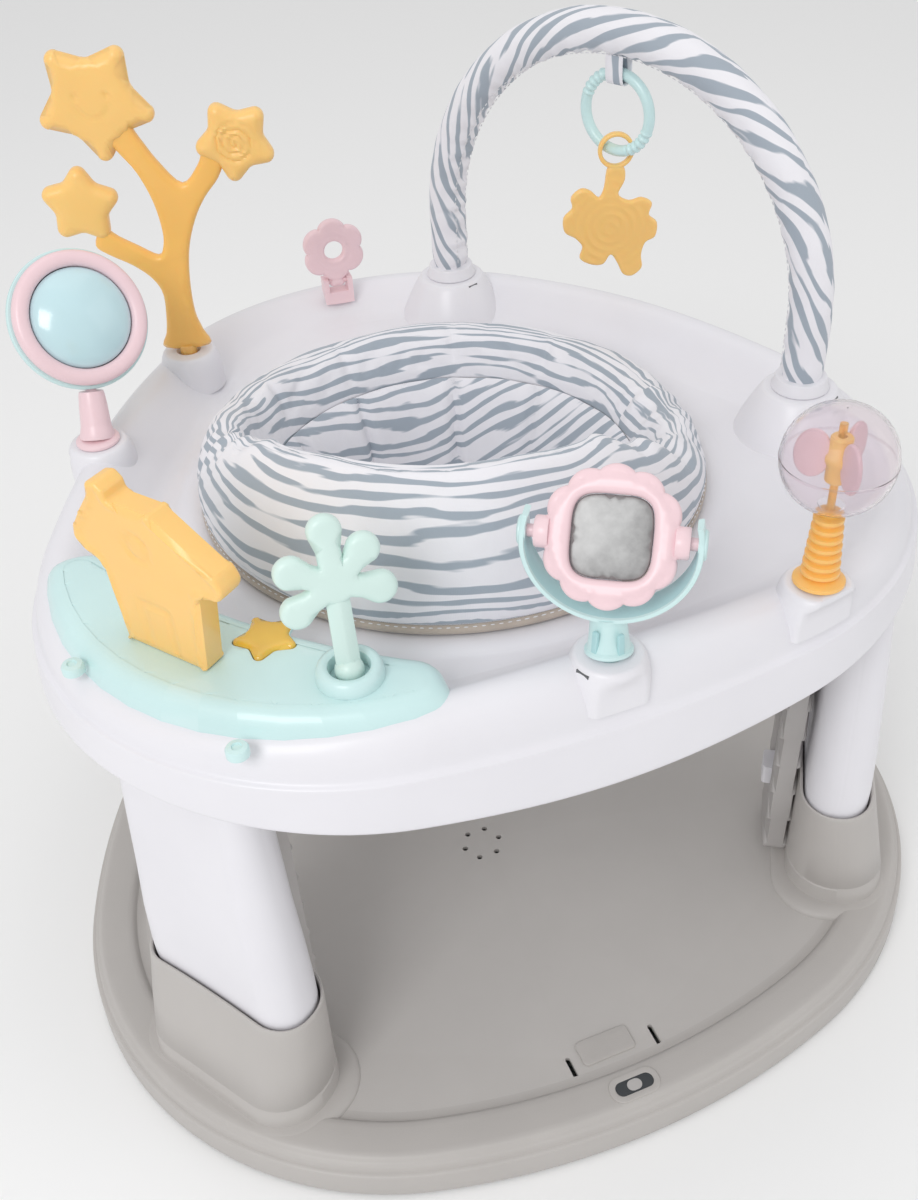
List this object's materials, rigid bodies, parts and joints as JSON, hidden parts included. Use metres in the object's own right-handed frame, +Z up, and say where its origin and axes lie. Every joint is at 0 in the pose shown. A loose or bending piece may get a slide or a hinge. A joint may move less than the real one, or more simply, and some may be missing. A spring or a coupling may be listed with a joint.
{
  "type": "baby activity jumper",
  "caption": "Free-standing three-legged baby activity jumper with a floor ring, sprung toy tray, turning fabric seat, fabric toy arch and movable toys.",
  "frame": {"origin": "on the floor, at the middle of the base ring's bounding box", "axes": "+Z up, -Y towards the front between the left and right legs, +X to the right seen from the front; one leg is at the back (+Y)"},
  "size_m": [0.7678, 0.7555, 0.699],
  "materials": {
    "base_plastic": "satin moulded grey",
    "floor_plastic": "satin moulded grey, slightly lighter",
    "white_plastic": "satin white",
    "post_plastic": "satin grey",
    "dark_plastic": "dark inner piece",
    "rubber": "matt",
    "metal": "zinc plated",
    "board": "coated board",
    "stripe_fabric": "woven, striped",
    "piping_fabric": "woven tape",
    "sling_fabric": "woven",
    "orange_plastic": "glossy",
    "yellow_plastic": "glossy",
    "aqua_plastic": "glossy",
    "mint_plastic": "glossy",
    "pink_plastic": "glossy",
    "clear_plastic": "clear moulded shell",
    "mirror_face": "soft-backed mirror film"
  },
  "bodies": {
    "base": {"base_ring": "base_plastic", "floor_panel": "floor_plastic", "rubber_feet": "rubber", "sound_housing": "dark_plastic", "battery_door": "dark_plastic", "battery_cells": "metal", "speaker": "dark_plastic", "circuit_board": "board", "leg_socket_back": "post_plastic", "leg_socket_left": "post_plastic", "leg_socket_right": "post_plastic"},
    "switch": {"power_switch": "white_plastic"},
    "carriages": {"height_carriage_back": "dark_plastic", "height_carriage_left": "dark_plastic", "height_carriage_right": "dark_plastic", "bounce_springs": "metal"},
    "tray": {"leg_back": "white_plastic", "leg_left": "white_plastic", "leg_right": "white_plastic", "tray_top": "white_plastic", "tray_frame": "post_plastic", "tray_screws": "metal", "seat_track": "white_plastic", "dome_stalk": "pink_plastic", "flower_clevis": "pink_plastic", "ball_stalk": "orange_plastic", "island": "aqua_plastic", "palm_collar": "aqua_plastic"},
    "seat": {"seat_ring": "post_plastic", "seat_retainer": "post_plastic", "seat_piping": "piping_fabric", "seat_cover": "stripe_fabric", "seat_sling": "sling_fabric", "sling_clips": "post_plastic"},
    "arch": {"arch_plugs": "white_plastic", "arch_tube": "post_plastic", "arch_sleeve": "stripe_fabric", "toy_strap": "stripe_fabric"},
    "ring": {"link_ring": "aqua_plastic"},
    "teether_leaf": {"teether": "yellow_plastic"},
    "star_tree": {"tree_trunk": "orange_plastic", "tree_stars": "yellow_plastic"},
    "dome_head": {"dome_back": "mint_plastic", "dome_ring": "pink_plastic"},
    "dome_disc": {"dome_lens": "aqua_plastic"},
    "flower_flap": {"flower": "pink_plastic"},
    "mirror_swivel": {"mirror_yoke": "aqua_plastic"},
    "mirror_face": {"mirror_frame": "pink_plastic", "mirror_plate": "mirror_face"},
    "ball": {"ball_shell": "clear_plastic"},
    "paddle_wheel": {"ball_paddles": "pink_plastic"},
    "star_key": {"star_button": "yellow_plastic"},
    "house_figure": {"house": "orange_plastic"},
    "palm_figure": {"palm_tree": "mint_plastic"},
    "lock_back": {"height_lock_back": "white_plastic"},
    "lock_left": {"height_lock_left": "white_plastic"},
    "lock_right": {"height_lock_right": "white_plastic"},
    "release_back": {"release_button_back": "dark_plastic"},
    "release_right": {"release_button_right": "dark_plastic"},
    "release_mirror": {"release_button_mirror": "dark_plastic"}
  },
  "joints": [
    {"name": "height_adjust", "type": "slide", "parent": "base", "child": "carriages", "axis": [0, 0, 1], "range_m": [0, 0.07]},
    {"name": "bounce", "type": "slide", "parent": "carriages", "child": "tray", "axis": [0, 0, 1], "range_m": [-0.025, 0], "stiffness_N_per_m": 6000, "springref_m": 0.03, "deforming": ["bounce_springs"]},
    {"name": "seat_turn", "type": "hinge", "parent": "tray", "child": "seat", "pos_m": [0, -0.00521, 0.4], "axis": [0, 0, 1], "continuous": true},
    {"name": "power_slide", "type": "slide", "parent": "base", "child": "switch", "axis": [1, 0, 0], "range_m": [-0.008, 0.008]},
    {"name": "arch_lift", "type": "slide", "parent": "tray", "child": "arch", "axis": [0, 0, 1], "range_m": [0, 0.02]},
    {"name": "lock_back_press", "type": "slide", "parent": "carriages", "child": "lock_back", "axis": [0, 1, 0], "range_m": [0, 0.004], "stiffness_N_per_m": 300, "springref_m": -0.002},
    {"name": "lock_left_press", "type": "slide", "parent": "carriages", "child": "lock_left", "axis": [-0.8387, -0.5446, 0], "range_m": [0, 0.004], "stiffness_N_per_m": 300, "springref_m": -0.002},
    {"name": "lock_right_press", "type": "slide", "parent": "carriages", "child": "lock_right", "axis": [0.8387, -0.5446, 0], "range_m": [0, 0.004], "stiffness_N_per_m": 300, "springref_m": -0.002},
    {"name": "release_back_press", "type": "slide", "parent": "tray", "child": "release_back", "axis": [-0.342, 0.9397, 0], "range_m": [0, 0.0025], "stiffness_N_per_m": 150, "springref_m": -0.002},
    {"name": "release_right_press", "type": "slide", "parent": "tray", "child": "release_right", "axis": [-0.5, 0.866, 0], "range_m": [0, 0.0025], "stiffness_N_per_m": 150, "springref_m": -0.002},
    {"name": "release_mirror_press", "type": "slide", "parent": "tray", "child": "release_mirror", "axis": [0.9397, 0.342, 0], "range_m": [0, 0.0025], "stiffness_N_per_m": 150, "springref_m": -0.002},
    {"name": "ring_swing", "type": "hinge", "parent": "arch", "child": "ring", "pos_m": [0.19248, 0.09714, 0.652], "axis": [-0.4695, 0.8829, 0], "range_deg": [-30, 30]},
    {"name": "teether_swing", "type": "hinge", "parent": "ring", "child": "teether_leaf", "pos_m": [0.19248, 0.09714, 0.592], "axis": [-0.4695, 0.8829, 0], "range_deg": [-20, 20]},
    {"name": "star_sway", "type": "hinge", "parent": "tray", "child": "star_tree", "pos_m": [-0.157, 0.226, 0.431], "axis": [-0.309, -0.9511, 0], "range_deg": [-5, 5], "stiffness_Nm_per_rad": 8},
    {"name": "dome_turn", "type": "hinge", "parent": "tray", "child": "dome_head", "pos_m": [-0.256, 0.108, 0.4384], "axis": [0.1262, 0.3681, 0.9212], "range_deg": [-40, 40]},
    {"name": "dome_spin", "type": "hinge", "parent": "dome_head", "child": "dome_disc", "pos_m": [-0.244, 0.143, 0.526], "axis": [0.2387, -0.8325, 0.5], "continuous": true},
    {"name": "flower_flip", "type": "hinge", "parent": "tray", "child": "flower_flap", "pos_m": [0.005, 0.305, 0.434], "axis": [0.9976, -0.0698, 0], "range_deg": [-30, 30]},
    {"name": "mirror_turn", "type": "hinge", "parent": "tray", "child": "mirror_swivel", "pos_m": [-0.005, -0.284, 0.438], "axis": [0, 0, 1], "range_deg": [-40, 40]},
    {"name": "mirror_spin", "type": "hinge", "parent": "mirror_swivel", "child": "mirror_face", "pos_m": [0, -0.273, 0.517], "axis": [0.829, -0.5592, 0], "continuous": true},
    {"name": "ball_spin", "type": "hinge", "parent": "tray", "child": "ball", "pos_m": [0.152, -0.277, 0.53], "axis": [0, 0, 1], "continuous": true},
    {"name": "paddle_spin", "type": "hinge", "parent": "tray", "child": "paddle_wheel", "pos_m": [0.152, -0.277, 0.53], "axis": [0, 0, 1], "continuous": true},
    {"name": "star_press", "type": "slide", "parent": "tray", "child": "star_key", "axis": [0, 0, -1], "range_m": [0, 0.0025], "stiffness_N_per_m": 200, "springref_m": -0.003},
    {"name": "house_turn", "type": "hinge", "parent": "tray", "child": "house_figure", "pos_m": [-0.25151, -0.16382, 0.437], "axis": [0, 0, 1], "range_deg": [-25, 25]},
    {"name": "palm_tilt", "type": "hinge", "parent": "tray", "child": "palm_figure", "pos_m": [-0.158, -0.236, 0.442], "axis": [0.9976, -0.0698, 0], "range_deg": [-12, 12]}
  ]
}
